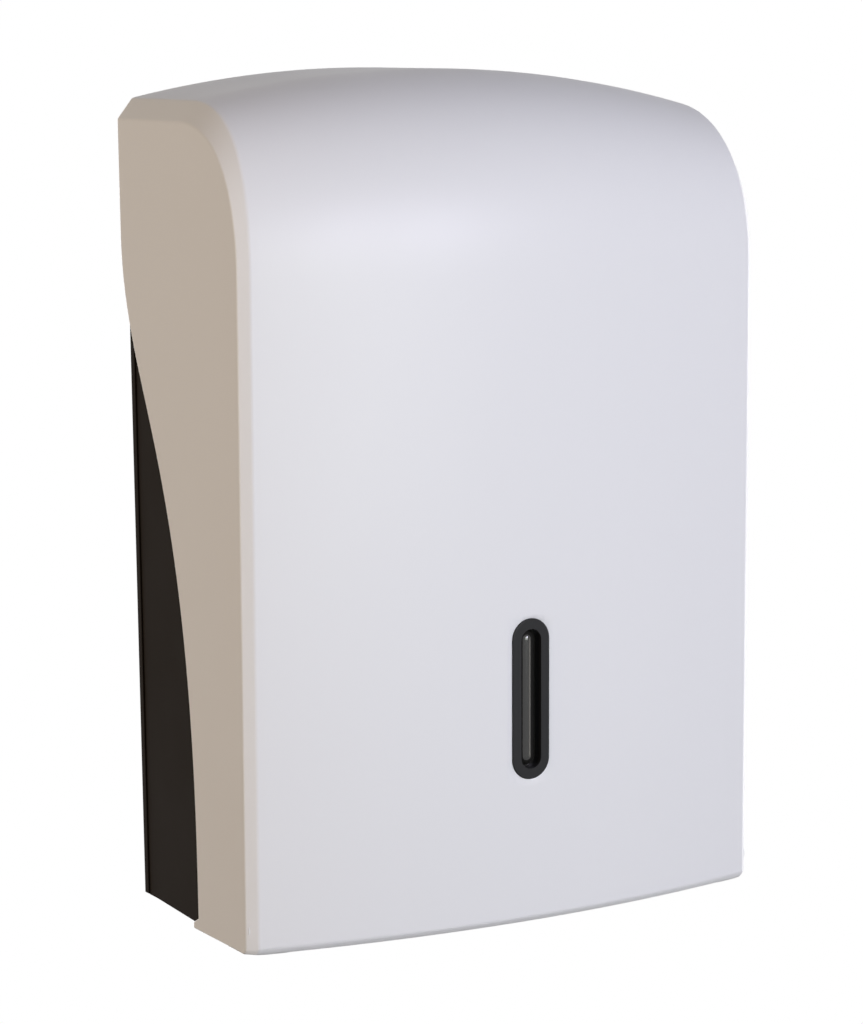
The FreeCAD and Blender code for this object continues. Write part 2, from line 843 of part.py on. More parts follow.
def placed_screws(places, height):
    screws = []
    for x, y in places:
        shape = small_screw()
        shape.translate(vec(x, y, height))
        screws.append(shape)
    return screws


def keeper_plate():
    """A bent steel plate: a foot on the tray and a tab in front of the locked cam."""
    start = keeper_start
    end = start + keeper_width
    foot = block(
        start, end, -keeper_depth, keeper_foot - keeper_depth,
        tray_top, tray_top + keeper_thickness,
    )
    tab = block(
        start, end, -keeper_depth - keeper_thickness, -keeper_depth,
        tray_top, cam_top + keeper_overlap,
    )
    shape = foot.fuse(tab).removeSplitter()
    hole = screw_shank_radius + running_gap
    for x, y in keeper_screw_places():
        shape = shape.cut(rod(hole, 2 * overrun, vec(x, y, tray_top - overrun), vec(0, 0, 1)))
    return shape


def cover_buffer():
    x, z = buffer_centre()
    front = vec(x, -tray_top_depth, z)
    pad = rod(buffer_radius, buffer_height, front, vec(0, -1, 0))
    edge = [edge for edge in pad.Edges if edge.BoundBox.YMax < front.y - buffer_height / 2]
    pad = pad.makeFillet(buffer_height / 3, edge)
    stem = rod(buffer_stem_radius, buffer_stem_length - seat_gap, front, vec(0, 1, 0))
    return pad.fuse(stem)


# Lock

def lock_rod(radius, bottom, top):
    return rod(radius, top - bottom, vec(0, -lock_depth, bottom), vec(0, 0, 1))


def lock_barrel():
    flange = lock_rod(barrel_flange_radius, lock_seat, lock_seat + barrel_flange_thickness)
    edge = [edge for edge in flange.Edges if edge.BoundBox.ZMin > lock_seat + barrel_flange_thickness / 2]
    flange = flange.makeFillet(barrel_flange_thickness / 2, edge)
    body = lock_rod(barrel_radius, barrel_bottom, lock_seat)
    bore = lock_rod(plug_radius + running_gap, barrel_bottom - overrun, lock_seat + overrun)
    return flange.fuse(body).cut(bore)


def lock_washer():
    top = lock_pad_bottom
    outer = lock_rod(lock_washer_radius, top - lock_washer_thickness, top)
    return outer.cut(lock_rod(barrel_radius + running_gap, top - overrun, top + overrun))


def lock_nut():
    top = lock_pad_bottom - lock_washer_thickness
    corner = nut_flats / math.sqrt(3)
    points = []
    for index in range(nut_sides):
        angle = 2 * math.pi * index / nut_sides
        x = corner * math.cos(angle)
        y = corner * math.sin(angle) - lock_depth
        points.append(vec(x, y, top - nut_thickness))
    shape = Part.Face(Part.makePolygon(points + points[:1])).extrude(vec(0, 0, nut_thickness))
    return shape.cut(lock_rod(barrel_radius + press_gap, top - nut_thickness - overrun, top + overrun))


def lock_plug():
    top = lock_seat + barrel_flange_thickness
    body = lock_rod(plug_radius, cam_top, top)
    half = cam_square / 2
    post = block(-half, half, -lock_depth - half, -lock_depth + half, cam_bottom + cam_play, cam_top)
    shape = body.fuse(post)
    slot = block(
        -key_slot_width / 2, key_slot_width / 2,
        -lock_depth - key_slot_length / 2, -lock_depth + key_slot_length / 2,
        top - key_slot_depth, top + overrun,
    )
    bore = lock_rod(cam_screw_radius + press_gap, cam_bottom - overrun, cam_bottom + cam_screw_length)
    return shape.cut(slot).cut(bore)


def lock_cam():
    """The flat cam, which points to the wall while the lock is open."""
    hub = lock_rod(cam_hub_radius, cam_bottom, cam_top)
    half = cam_width / 2
    reach = cam_length - half
    arm = block(-half, half, -lock_depth, reach - lock_depth, cam_bottom, cam_top)
    tip = rod(half, cam_thickness, vec(0, reach - lock_depth, cam_bottom), vec(0, 0, 1))
    hole = cam_square / 2 + running_gap
    square = block(
        -hole, hole, -lock_depth - hole, -lock_depth + hole,
        cam_bottom - overrun, cam_top + overrun,
    )
    return hub.fuse([arm, tip]).removeSplitter().cut(square)


def cam_washer():
    outer = lock_rod(cam_washer_radius, cam_bottom - cam_washer_thickness, cam_bottom)
    return outer.cut(lock_rod(cam_screw_radius + running_gap, cam_bottom - overrun, cam_bottom + overrun))


def cam_screw():
    length = cam_screw_length - cam_play + cam_washer_thickness
    shape = pan_screw(cam_head_radius, cam_head_height, cam_screw_radius, length)
    shape.rotate(vec(0, 0, 0), vec(1, 0, 0), 180)
    shape.translate(vec(0, -lock_depth, cam_bottom - cam_washer_thickness))
    return shape


os.makedirs("parts", exist_ok=True)

save("front_cover", front_cover())
save("window_bezel", window_bezel())
save("window_lens", window_lens())
save("window_retainer", window_retainer())
save("window_screws", *window_screws())
save("hinge_pin_right", hinge_pin())
save("hinge_pin_left", mirrored(hinge_pin()))
save("hinge_bush_right", hinge_bush())
save("hinge_bush_left", mirrored(hinge_bush()))
whole_tray = tray()
save("tray", whole_tray.cut(both_sides(wall_room())))
save("tray_wall_right", whole_tray.common(wall_room()))
save("tray_wall_left", whole_tray.common(mirrored(wall_room())))
save("throat_plate", throat_plate())
save("throat_screws", *placed_screws(throat_screw_places(), tray_floor_top + throat_plate_thickness))
save("towel_guide_right", towel_guide())
save("towel_guide_left", mirrored(towel_guide()))
save("guide_screws", *guide_screws())
save("keeper_plate", keeper_plate())
save("keeper_screws", *placed_screws(keeper_screw_places(), tray_top + keeper_thickness))
save("cover_buffers", *both_sides(cover_buffer()))
save("lock_barrel", lock_barrel())
save("lock_washer", lock_washer())
save("lock_nut", lock_nut())
save("lock_plug", lock_plug())
save("lock_cam", lock_cam())
save("cam_washer", cam_washer())
save("cam_screw", cam_screw())
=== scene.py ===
# %% [markdown]
# A dispenser for folded paper towels hangs on a washroom wall. Its white cover,
# its dark tray and the small level window are all moulded plastic, so the lesson
# is about clean shells, small rounded edges and quiet satin finishes.
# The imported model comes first: it is the fixed frame that every piece rides on.

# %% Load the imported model
import json
import math
import bmesh
import bpy
from mathutils import Matrix, Vector


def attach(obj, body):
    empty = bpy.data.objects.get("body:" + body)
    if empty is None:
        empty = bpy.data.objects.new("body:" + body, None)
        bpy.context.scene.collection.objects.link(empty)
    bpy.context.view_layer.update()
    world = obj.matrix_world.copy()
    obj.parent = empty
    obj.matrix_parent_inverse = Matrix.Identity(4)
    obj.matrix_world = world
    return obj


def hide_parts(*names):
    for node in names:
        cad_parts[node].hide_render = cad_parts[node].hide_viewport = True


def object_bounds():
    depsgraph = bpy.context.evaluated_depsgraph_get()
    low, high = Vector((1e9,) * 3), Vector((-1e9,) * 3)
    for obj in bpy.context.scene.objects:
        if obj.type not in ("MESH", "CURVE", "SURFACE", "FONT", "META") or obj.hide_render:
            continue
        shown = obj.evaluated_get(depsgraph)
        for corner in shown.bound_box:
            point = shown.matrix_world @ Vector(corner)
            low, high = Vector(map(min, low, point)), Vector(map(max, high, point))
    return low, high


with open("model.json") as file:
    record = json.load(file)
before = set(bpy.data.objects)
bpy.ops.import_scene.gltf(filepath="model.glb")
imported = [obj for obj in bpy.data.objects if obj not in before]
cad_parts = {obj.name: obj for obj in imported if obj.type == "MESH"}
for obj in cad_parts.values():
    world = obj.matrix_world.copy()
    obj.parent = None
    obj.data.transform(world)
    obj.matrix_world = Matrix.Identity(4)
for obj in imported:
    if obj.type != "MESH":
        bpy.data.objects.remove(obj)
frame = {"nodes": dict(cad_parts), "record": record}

cad_box = [list(corner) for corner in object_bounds()]
print("nodes", len(frame["nodes"]), "box", cad_box)

# %% [markdown]
# The camera stands left of the dispenser and a little above it. Its place was
# worked out from the corners of the cover: 29 degrees to the left, 7 degrees down,
# with a long lens, so the sides stay almost parallel as in a catalogue picture.

# %% Camera
MM = 0.001
image_width = 863
image_height = 1024
focal_pixels = 2776.12
sensor = 36.0
camera_place = Vector((-0.6831, -1.2696, 0.1479))
camera_azimuth = math.radians(29.36)
camera_pitch = math.radians(6.59)
camera_roll = math.radians(-0.85)


def camera_matrix():
    """The camera's place and its three axes, from its azimuth, pitch and roll."""
    a, p, r = camera_azimuth, camera_pitch, camera_roll
    forward = Vector((math.sin(a) * math.cos(p), math.cos(a) * math.cos(p), -math.sin(p)))
    right = Vector((math.cos(a), -math.sin(a), 0))
    up = right.cross(forward)
    turned_right = math.cos(r) * right + math.sin(r) * up
    turned_up = -math.sin(r) * right + math.cos(r) * up
    axes = Matrix((turned_right, turned_up, -forward)).transposed()
    return Matrix.Translation(camera_place) @ axes.to_4x4()


camera_data = bpy.data.cameras.new("camera")
camera_data.lens = focal_pixels * sensor / image_height
camera_data.sensor_width = sensor
camera = bpy.data.objects.new("camera", camera_data)
bpy.context.scene.collection.objects.link(camera)
camera.matrix_world = camera_matrix()
bpy.context.scene.camera = camera
print("lens", round(camera_data.lens, 1), "mm")

# %% [markdown]
# A node tree is a list of nodes and links, so one small function is enough to
# write every finish. Colours are given as sRGB hex values, and the shader
# wants linear light, so one more function turns them.

# %% Helpers for materials


def linear(code, alpha=1.0):
    """An sRGB hex colour as linear red, green, blue and alpha."""
    parts = [int(code[i:i + 2], 16) / 255 for i in (1, 3, 5)]
    return [p / 12.92 if p <= 0.04045 else ((p + 0.055) / 1.055) ** 2.4 for p in parts] + [alpha]


def add(tree, kind, settings=None, **inputs):
    """Adds a node, sets its properties, and sets or links its inputs by name."""
    node = tree.nodes.new(kind)
    for name, value in (settings or {}).items():
        setattr(node, name, value)
    for name, value in inputs.items():
        socket = node.inputs[int(name[1:])] if name[1:].isdigit() else node.inputs[name.replace("_", " ")]
        if isinstance(value, bpy.types.NodeSocket):
            tree.links.new(value, socket)
        else:
            socket.default_value = value
    return node


def new_material(name):
    """An empty material with its shader and its output, and the shader's node."""
    material = bpy.data.materials.new(name)
    material.use_nodes = True
    tree = material.node_tree
    tree.nodes.clear()
    shader = add(tree, "ShaderNodeBsdfPrincipled")
    add(tree, "ShaderNodeOutputMaterial", Surface=shader.outputs[0])
    return material, tree, shader


# %% [markdown]
# ABS is the usual plastic of washroom fittings. The cover's mould is finely
# blasted, which gives a satin skin: broad soft highlights and a grain that is
# only felt. The real grain is about 0.05 mm, too fine to show, so here and on the
# other plastics it is drawn at 0.5 to 1 mm and very shallow. A slow change in gloss
# comes from the flow of the melt.

# %% Moulded plastic


def moulded(name, colour, rough, grain_mm, grain_depth_mm, flow_mm=60.0, flow_share=0.05,
            ior=1.54, tint_share=0.02, shine=0.5):
    """Injection moulded plastic with a blasted or eroded grain."""
    material, tree, shader = new_material(name)
    where = add(tree, "ShaderNodeTexCoord").outputs["Object"]
    grain = add(tree, "ShaderNodeTexNoise", Vector=where, Scale=1 / (grain_mm * MM), Detail=3.0)
    flow = add(tree, "ShaderNodeTexNoise", Vector=where, Scale=1 / (flow_mm * MM), Detail=2.0)
    gloss = add(tree, "ShaderNodeMapRange", Value=flow.outputs["Fac"], From_Min=0.3, From_Max=0.7,
                To_Min=rough * (1 - flow_share), To_Max=rough * (1 + flow_share))
    base = linear(colour)
    darker = [c * (1 - tint_share) for c in base[:3]] + [1.0]
    tone = add(tree, "ShaderNodeMix", {"data_type": "RGBA"}, _0=grain.outputs["Fac"], _6=darker, _7=base)
    bump = add(tree, "ShaderNodeBump", Strength=1.0, Distance=grain_depth_mm * MM,
               Height=grain.outputs["Fac"])
    tree.links.new(tone.outputs[2], shader.inputs["Base Color"])
    tree.links.new(gloss.outputs[0], shader.inputs["Roughness"])
    tree.links.new(bump.outputs[0], shader.inputs["Normal"])
    shader.inputs["IOR"].default_value = ior
    shader.inputs["Specular IOR Level"].default_value = shine
    return material


# The blasted white skin has broad soft highlights and hardly mirrors the room.
abs_satin_white = moulded("abs_satin_white", "#E7E6EA", 0.4, 0.6, 0.004, shine=0.25)
# The tray's eroded grain is coarse and takes nearly all shine from the warm black.
abs_grained_black = moulded("abs_grained_black", "#221C17", 0.6, 0.8, 0.02, tint_share=0.12, shine=0.03)
# The window's frame comes from a fine mould, so it looks even and a little smoother.
abs_smooth_charcoal = moulded("abs_smooth_charcoal", "#28282A", 0.35, 1.0, 0.002, shine=0.12)
# The throat and the guides are plainer parts, with a light grain that hides scratches.
abs_dark_grey = moulded("abs_dark_grey", "#3B3A39", 0.4, 0.8, 0.01, tint_share=0.08)
abs_mid_grey = moulded("abs_mid_grey", "#7C7D7F", 0.42, 0.8, 0.01, tint_share=0.06)
# Natural nylon is milky and a little waxy.
nylon_natural = moulded("nylon_natural", "#E3DFD2", 0.38, 1.0, 0.004, ior=1.53)
# Pressed rubber is dull and slightly dusty.
rubber_black = moulded("rubber_black", "#1D1D1E", 0.75, 0.5, 0.02, ior=1.52, tint_share=0.2)
print("plastics", len(bpy.data.materials))

# %% [markdown]
# Zinc plating is bright and slightly blue, with a faint crystal cloud. The lock is
# die-cast and chrome plated, which is smoother and mirrors more sharply.

# %% Plated metals
dull_rough = 1.25
bright_rough = 0.8


def plated(name, colour, rough, cloud_mm, cloud_share):
    """Plated metal with a cloud of lighter and duller places."""
    material, tree, shader = new_material(name)
    where = add(tree, "ShaderNodeTexCoord").outputs["Object"]
    cloud = add(tree, "ShaderNodeTexNoise", Vector=where, Scale=1 / (cloud_mm * MM), Detail=4.0)
    base = linear(colour)
    dull = [c * (1 - cloud_share) for c in base[:3]] + [1.0]
    tone = add(tree, "ShaderNodeMix", {"data_type": "RGBA"}, _0=cloud.outputs["Fac"], _6=dull, _7=base)
    gloss = add(tree, "ShaderNodeMapRange", Value=cloud.outputs["Fac"], From_Min=0.3, From_Max=0.7,
                To_Min=rough * dull_rough, To_Max=rough * bright_rough)
    tree.links.new(tone.outputs[2], shader.inputs["Base Color"])
    tree.links.new(gloss.outputs[0], shader.inputs["Roughness"])
    shader.inputs["Metallic"].default_value = 1.0
    return material


zinc_plated_steel = plated("zinc_plated_steel", "#C4C7CB", 0.32, 2.5, 0.12)
chrome_plated_zinc = plated("chrome_plated_zinc", "#CFD0D2", 0.12, 6.0, 0.04)
print("plated metals", zinc_plated_steel.name, chrome_plated_zinc.name)

# %% [markdown]
# The window's lens is clear polycarbonate with a smoke tint, so the dark hollow
# behind it shows only faintly and its rounded front catches a thin highlight.

# %% Smoked polycarbonate
wipe_mm = 4
polycarbonate_smoked, tree, shader = new_material("polycarbonate_smoked")
where = add(tree, "ShaderNodeTexCoord").outputs["Object"]
wipe = add(tree, "ShaderNodeTexNoise", Vector=where, Scale=1 / (wipe_mm * MM), Detail=3.0)
gloss = add(tree, "ShaderNodeMapRange", Value=wipe.outputs["Fac"], To_Min=0.1, To_Max=0.15)
tree.links.new(gloss.outputs[0], shader.inputs["Roughness"])
shader.inputs["Base Color"].default_value = linear("#2A2928")
shader.inputs["Transmission Weight"].default_value = 0.25
shader.inputs["IOR"].default_value = 1.58
print("lens finish", polycarbonate_smoked.name)

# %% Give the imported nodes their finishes
finishes = {
    "cover_white": abs_satin_white,
    "tray_dark": abs_grained_black,
    "throat_dark": abs_dark_grey,
    "guide_grey": abs_mid_grey,
    "bezel_dark": abs_smooth_charcoal,
    "lens_smoke": polycarbonate_smoked,
    "bush_nylon": nylon_natural,
    "steel_zinc": zinc_plated_steel,
    "lock_chrome": chrome_plated_zinc,
    "buffer_rubber": rubber_black,
}
for row in frame["record"]["subparts"]:
    node = frame["nodes"][row["node"]]
    node.data.materials.clear()
    node.data.materials.append(finishes[row["material_slot"]])
print("finishes", len(finishes))

# %% [markdown]
# The cover is one injection moulded shell. Its front bows outwards, its crown rises
# in the middle, a deep round shoulder joins the two, and a flat strip runs
# down each side, at 45 degrees on the front and a little steeper on the crown. It
# could be sculpted, but the photograph shows crisp, even lines, so one flat grid is
# laid over the form, row by row along the profile. At its lower end the profile
# turns in to a small hem, which is deeper in the middle than near the hinges.

# %% Sizes of the cover, in millimetres
wall_screw_height = 205.0
half_width = 142.5
cover_wall = 2.6
side_height = 390.5
side_depth = 125.5
fall = 6.5 / side_depth
lean = 8.0 / side_height
front_bulge = 16.8
crown_rise = 16.6
corner_front = 4.8
corner_top = 9.4
strip_rise = 1.27
shoulder_run = 61.0
shoulder_drop = 69.6
shoulder_fullness = 0.64
hem_depth = 2.7
hem_more = 1.1
hem_height = 3.3
hem_pull = (0.55, 0.9)
hem_rows = 3
wall_gap = 0.8
window_height = 110.6


def bow(x):
    """How much of the bulge and the crown a place has: 1 in the middle, 0 at the strip."""
    return 1 - (x / (half_width - corner_front)) ** 2


def offsets(x):
    """How far the front stands forward and the crown upward, over the plain sides."""
    return corner_front + front_bulge * bow(x), corner_top + crown_rise * bow(x)


def front_depth(x, z):
    """How far the front stands from the wall."""
    return side_depth + offsets(x)[0] + lean * z


def crown_height(x, y):
    """How high the crown stands over the lower edge."""
    return side_height + offsets(x)[1] + fall * y


print("front stands", front_depth(0, 0), "mm from the wall, crown", crown_height(0, 0), "mm high")

# %% One profile of the cover, from the wall over the shoulder to the hem
top_rows = 14
shoulder_rows = 26
front_rows = 48


def profile(forward, upward):
    """Points (y, z) of the profile for one pair of offsets."""
    front = side_depth + forward
    top = side_height + upward
    corner_z = (top - fall * front) / (1 + fall * lean)
    corner = Vector((-front - lean * corner_z, corner_z))
    run = shoulder_run + forward
    drop = shoulder_drop + upward
    top_end = corner + Vector((run, fall * run))
    front_end = corner + Vector((lean * drop, -drop))
    pulls = [top_end.lerp(corner, shoulder_fullness), front_end.lerp(corner, shoulder_fullness)]
    rear = Vector((-wall_gap, top - fall * wall_gap))
    points = [rear.lerp(top_end, row / top_rows) for row in range(top_rows)]
    for row in range(shoulder_rows):
        t = row / shoulder_rows
        points.append((1 - t) ** 3 * top_end + 3 * t * (1 - t) ** 2 * pulls[0]
                      + 3 * t ** 2 * (1 - t) * pulls[1] + t ** 3 * front_end)
    hem_top = Vector((-front - lean * hem_height, hem_height))
    points += [front_end.lerp(hem_top, row / front_rows) for row in range(front_rows)]
    depth = hem_depth + hem_more * max(0, forward - corner_front) / front_bulge
    pull = Vector((hem_top.x + hem_pull[0] * depth, hem_pull[1]))
    hem_end = Vector((hem_top.x + depth, 0))
    for row in range(hem_rows + 1):
        t = row / hem_rows
        points.append((1 - t) ** 2 * hem_top + 2 * t * (1 - t) * pull + t ** 2 * hem_end)
    return points


rows = top_rows + shoulder_rows + front_rows + hem_rows + 1
print("profile points", rows)

# %% Where the bowed form meets the strips
strip_search = 20
halvings = 18


def outside(point, line):
    """How far a point lies outside a profile line."""
    best = None
    for a, b in zip(line, line[1:]):
        along = b - a
        share = min(1, max(0, (point - a).dot(along) / along.length_squared))
        away = point - a.lerp(b, share)
        if best is None or away.length < best[0]:
            best = (away.length, along.y * away.x - along.x * away.y)
    return math.copysign(best[0], best[1])


def strip_edge(row):
    """The X at which one row of the bowed form runs into the strip, by halving."""
    low, high = half_width - strip_search, half_width
    for step in range(halvings):
        x = (low + high) / 2
        spread = half_width - x
        gap = outside(profile(*offsets(x))[row], profile(spread, spread * strip_rise))
        low, high = (x, high) if gap < 0 else (low, x)
    return x


strip_edges = [strip_edge(row) for row in range(rows)]
print("strip edge", round(strip_edges[0], 2), "on the crown,", round(strip_edges[-1], 2), "on the front")

# %% [markdown]
# The outer skin starts as one flat grid. Each column becomes a place across the
# width and each row a point of the profile. The two outermost columns are the
# strips, so their edges stay crisp. The window and the lock need round holes in
# it: the cells there are taken out, and a loop of the real outline is bridged to
# the edge that they leave, which keeps the satin shading even.

# %% Lay a grid over the cover's form
columns = 64


def place(x, y, z):
    """A place in millimetres over the cover's lower edge, in the frame's metres."""
    return Vector((x, y, z - wall_screw_height)) * MM


def skin_point(column, row):
    """The place of one grid point of the outer skin."""
    if column in (0, columns):
        x = half_width if column else -half_width
        point = side_profile[row]
    else:
        share = 2 * (column - 1) / (columns - 2) - 1
        x = share * strip_edges[row]
        point = profile(*offsets(x))[row]
    return place(x, point.x, point.y)


side_profile = profile(0, 0)
shell = bmesh.new()
bmesh.ops.create_grid(shell, x_segments=columns, y_segments=rows - 1, size=1)
for vert in shell.verts:
    column = round((vert.co.x + 1) / 2 * columns)
    row = round((1 - vert.co.y) / 2 * (rows - 1))
    vert.co = skin_point(column, row)
print("grid faces", len(shell.faces))

# %% Open the holes for the window and the lock


def open_hole(form, inside, outline):
    """Takes out the faces inside, and bridges the edge they leave to a new outline."""
    taken = [face for face in form.faces if inside(face.calc_center_median())]
    around = {edge for face in taken for edge in face.edges}
    bmesh.ops.delete(form, geom=taken, context="FACES")
    rim = [edge for edge in around if edge.is_valid and edge.is_boundary]
    verts = [form.verts.new(outline(index / len(rim))) for index in range(len(rim))]
    loop = [form.edges.new((verts[index - 1], verts[index])) for index in range(len(rim))]
    bmesh.ops.bridge_loops(form, edges=rim + loop)
    return len(rim)


hole_half = 9.5
hole_straight = 28.9
window_cut = (15, 30, 44)
lock_cut = (15, 15, 10)


def window_outline(share):
    """A point of the window's stadium, by its share of the way round."""
    arc = math.pi * hole_half
    around = 2 * arc + 4 * hole_straight
    gone = share * around
    side = 1 if gone < around / 2 else -1
    gone -= 0 if side > 0 else around / 2
    if gone < arc:
        angle = gone / hole_half
        x, z = hole_half * math.cos(angle), hole_straight + hole_half * math.sin(angle)
    else:
        x, z = -hole_half, hole_straight - (gone - arc)
    x, z = side * x, window_height + side * z
    return place(x, -front_depth(x, z), z)


lock_depth = 26.0
lock_recess = 9.8


def lock_outline(share):
    """A point of the lock's round recess, by its share of the way round."""
    x = lock_recess * math.cos(math.tau * share)
    y = lock_recess * math.sin(math.tau * share) - lock_depth
    return place(x, y, crown_height(x, y))


window_centre = place(0, -front_depth(0, window_height), window_height)
lock_centre = place(0, -lock_depth, crown_height(0, -lock_depth))


def within(middle, centre, reach):
    """Whether a place is nearer to a centre than the reach, along X, Y and Z."""
    return all(abs(away) < most * MM for away, most in zip(middle - centre, reach))


def near_window(middle):
    """Whether a grid face makes room for the window."""
    return within(middle, window_centre, window_cut)


def near_lock(middle):
    """Whether a grid face makes room for the lock."""
    return within(middle, lock_centre, lock_cut)


print("loops", open_hole(shell, near_window, window_outline), open_hole(shell, near_lock, lock_outline))

# %% [markdown]
# The flat flanks close the form at both sides. Each is one flat face, from the
# strip's edge back to the long S-shaped line that leaves the dark tray in view, and
# it ends at the bottom in a small toe. The bottom lip is one more flat face, with
# two notches that let the tray's hinge lugs through.

# %% The flanks and the bottom lip
flank_depth = 73.0
flank_low = 28.0
flank_high = 335.0
flank_shares = (0.67, 0.26)
lip_step = 0.4
toe = [(-73.0, 6.2), (-68.1, 3.7), (-67.4, 2.9), (-67.4, 0.0)]
hinge_depth = 121.0
hinge_height = 12.0
lip_end = -107.0
notch = (123.3, 131.3, -128.0)
swoop_steps = 40


def swoop():
    """The flank's rear edge from the wall down to the toe, as (y, z) points."""
    rise = flank_high - flank_low
    high, low = Vector((-wall_gap, flank_high)), Vector((-flank_depth, flank_low))
    pulls = [high - Vector((0, flank_shares[1] * rise)), low + Vector((0, flank_shares[0] * rise))]
    line = []
    for step in range(swoop_steps + 1):
        t = step / swoop_steps
        line.append((1 - t) ** 3 * high + 3 * t * (1 - t) ** 2 * pulls[0]
                    + 3 * t ** 2 * (1 - t) * pulls[1] + t ** 3 * low)
    return line


def found(x, y, z):
    """The skin's own vertex at a place."""
    spot = place(x, y, z)
    return min(shell.verts, key=lambda vert: (vert.co - spot).length)


low_front = side_profile[-1].x
corners = []
for side in (-1, 1):
    edge_verts = [found(side * half_width, point.x, point.y) for point in side_profile]
    rear_line = [tuple(point) for point in swoop()] + toe
    rear_verts = [shell.verts.new(place(side * half_width, y, z)) for y, z in rear_line]
    step_vert = shell.verts.new(place(side * half_width, lip_end + lip_step, 0))
    lip_vert = shell.verts.new(place(side * half_width, lip_end, 0))
    shell.faces.new(edge_verts + [lip_vert, step_vert] + rear_verts[::-1])
    corners.append(lip_vert)
hem_verts = sorted((vert for vert in shell.verts if abs(vert.co.z + wall_screw_height * MM) < 1e-7
                    and vert.co.y < place(0, low_front + 1, 0).y), key=lambda vert: vert.co.x)
x_in, x_out, y_in = notch
notch_line = [(x_out, lip_end), (x_out, y_in), (x_in, y_in), (x_in, lip_end)]
notch_line += [(-x, y) for x, y in reversed(notch_line)]
notch_verts = [shell.verts.new(place(x, y, 0)) for x, y in notch_line]
shell.faces.new(hem_verts + [corners[1]] + notch_verts + [corners[0]])
bmesh.ops.remove_doubles(shell, verts=shell.verts, dist=1e-6)
bmesh.ops.recalc_face_normals(shell, faces=shell.faces)
print("skin faces", len(shell.faces), "hem points", len(hem_verts))

# %% Give the shell its wall


def new_piece(name, form, body, material):
    """An object from a bmesh, riding on a body, with its finish."""
    mesh = bpy.data.meshes.new(name)
    form.to_mesh(mesh)
    form.free()
    mesh.materials.append(material)
    for polygon in mesh.polygons:
        polygon.use_smooth = True
    piece = bpy.data.objects.new(name, mesh)
    bpy.context.scene.collection.objects.link(piece)
    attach(piece, body)
    return piece


def even_normals(piece):
    """Lets the large faces set the shading, so only the rounded edges turn."""
    weighted = piece.modifiers.new("even_normals", "WEIGHTED_NORMAL")
    weighted.keep_sharp = False
    return piece


front_face = min(shell.faces, key=lambda face: (face.calc_center_median() - window_centre).length)
if front_face.normal.y > 0:
    bmesh.ops.reverse_faces(shell, faces=shell.faces)
skin_mesh = bpy.data.meshes.new("cover_skin")
shell.to_mesh(skin_mesh)
shell.free()
skin = bpy.data.objects.new("cover_skin", skin_mesh)
bpy.context.scene.collection.objects.link(skin)
wall = skin.modifiers.new("wall", "SOLIDIFY")
wall.thickness = cover_wall * MM
wall.offset = -1
wall.use_even_offset = True
walled = bpy.data.meshes.new_from_object(skin.evaluated_get(bpy.context.evaluated_depsgraph_get()))
bpy.data.objects.remove(skin)
print("walled faces", len(walled.polygons))

# %% [markdown]
# No moulded edge is quite sharp: the cutter that made the mould leaves about a
# millimetre of radius. That small curve catches the light along every edge and
# is what makes plastic look real, so each crisp edge of the shell is bevelled.
# Only the edges at the window, the lock and the hinge notches stay as they are:
# the bezel and the lock lie over two of them, and hinge lugs pass close to the third.

# %% Round the shell's edges
edge_round = 0.9
crisp = math.radians(25)
window_rim = (14, 44)
lock_rim = 14
notch_side = (122, 137)
notch_front = -132
notch_top = 3.2
cover = bmesh.new()
cover.from_mesh(walled)
bpy.data.meshes.remove(walled)


def near_holes(middle):
    """Whether a place is at the window, the lock or a notch, whose edges stay crisp."""
    at_window = abs(middle.x) < window_rim[0] * MM and abs(middle.z - window_centre.z) < window_rim[1] * MM
    at_lock = (middle - lock_centre).length < lock_rim * MM
    at_notch = (notch_side[0] * MM < abs(middle.x) < notch_side[1] * MM
                and middle.y > notch_front * MM and middle.z < place(0, 0, notch_top).z)
    return at_window or at_lock or at_notch


edges = [edge for edge in cover.edges if edge.is_manifold and edge.calc_face_angle() > crisp
         and not near_holes((edge.verts[0].co + edge.verts[1].co) / 2)]
bmesh.ops.bevel(cover, geom=edges, offset=edge_round * MM, offset_type="OFFSET", segments=3,
                profile=0.5, affect="EDGES", material=-1)
for vert in cover.verts:
    # Where two edges meet closer than the radius, the bevel overshoots a little.
    vert.co.y = max(vert.co.y, cad_box[0][1])
    vert.co.z = max(vert.co.z, cad_box[0][2])
print("rounded edges", len(edges), "faces", len(cover.faces))

# %% [markdown]
# Inside, the shell carries what a towel dispenser's cover needs: two bosses with
# bores for the hinge pins, two upright ribs that keep the front from drumming, a
# thick pad under the lock and two ribs that meet the rubber buffers.

# %% Turned and flat shapes inside the cover


def turned(form, points, frame_matrix, steps=48, closed=False):
    """A solid of revolution from (radius, height) points, set by a matrix."""
    part = bmesh.new()
    verts = [part.verts.new((radius * MM, 0, height * MM)) for radius, height in points]
    edges = [part.edges.new(pair) for pair in zip(verts, verts[1:])]
    if closed:
        edges.append(part.edges.new((verts[-1], verts[0])))
    bmesh.ops.spin(part, geom=verts + edges, cent=(0, 0, 0), axis=(0, 0, 1), angle=math.tau,
                   steps=steps, use_merge=True)
    bmesh.ops.remove_doubles(part, verts=part.verts, dist=1e-7)
    bmesh.ops.recalc_face_normals(part, faces=part.faces)
    bmesh.ops.transform(part, matrix=frame_matrix, verts=part.verts)
    join(form, part)


def join(form, part):
    """Adds one bmesh to another and frees it."""
    mesh = bpy.data.meshes.new("part")
    part.to_mesh(mesh)
    part.free()
    form.from_mesh(mesh)
    bpy.data.meshes.remove(mesh)


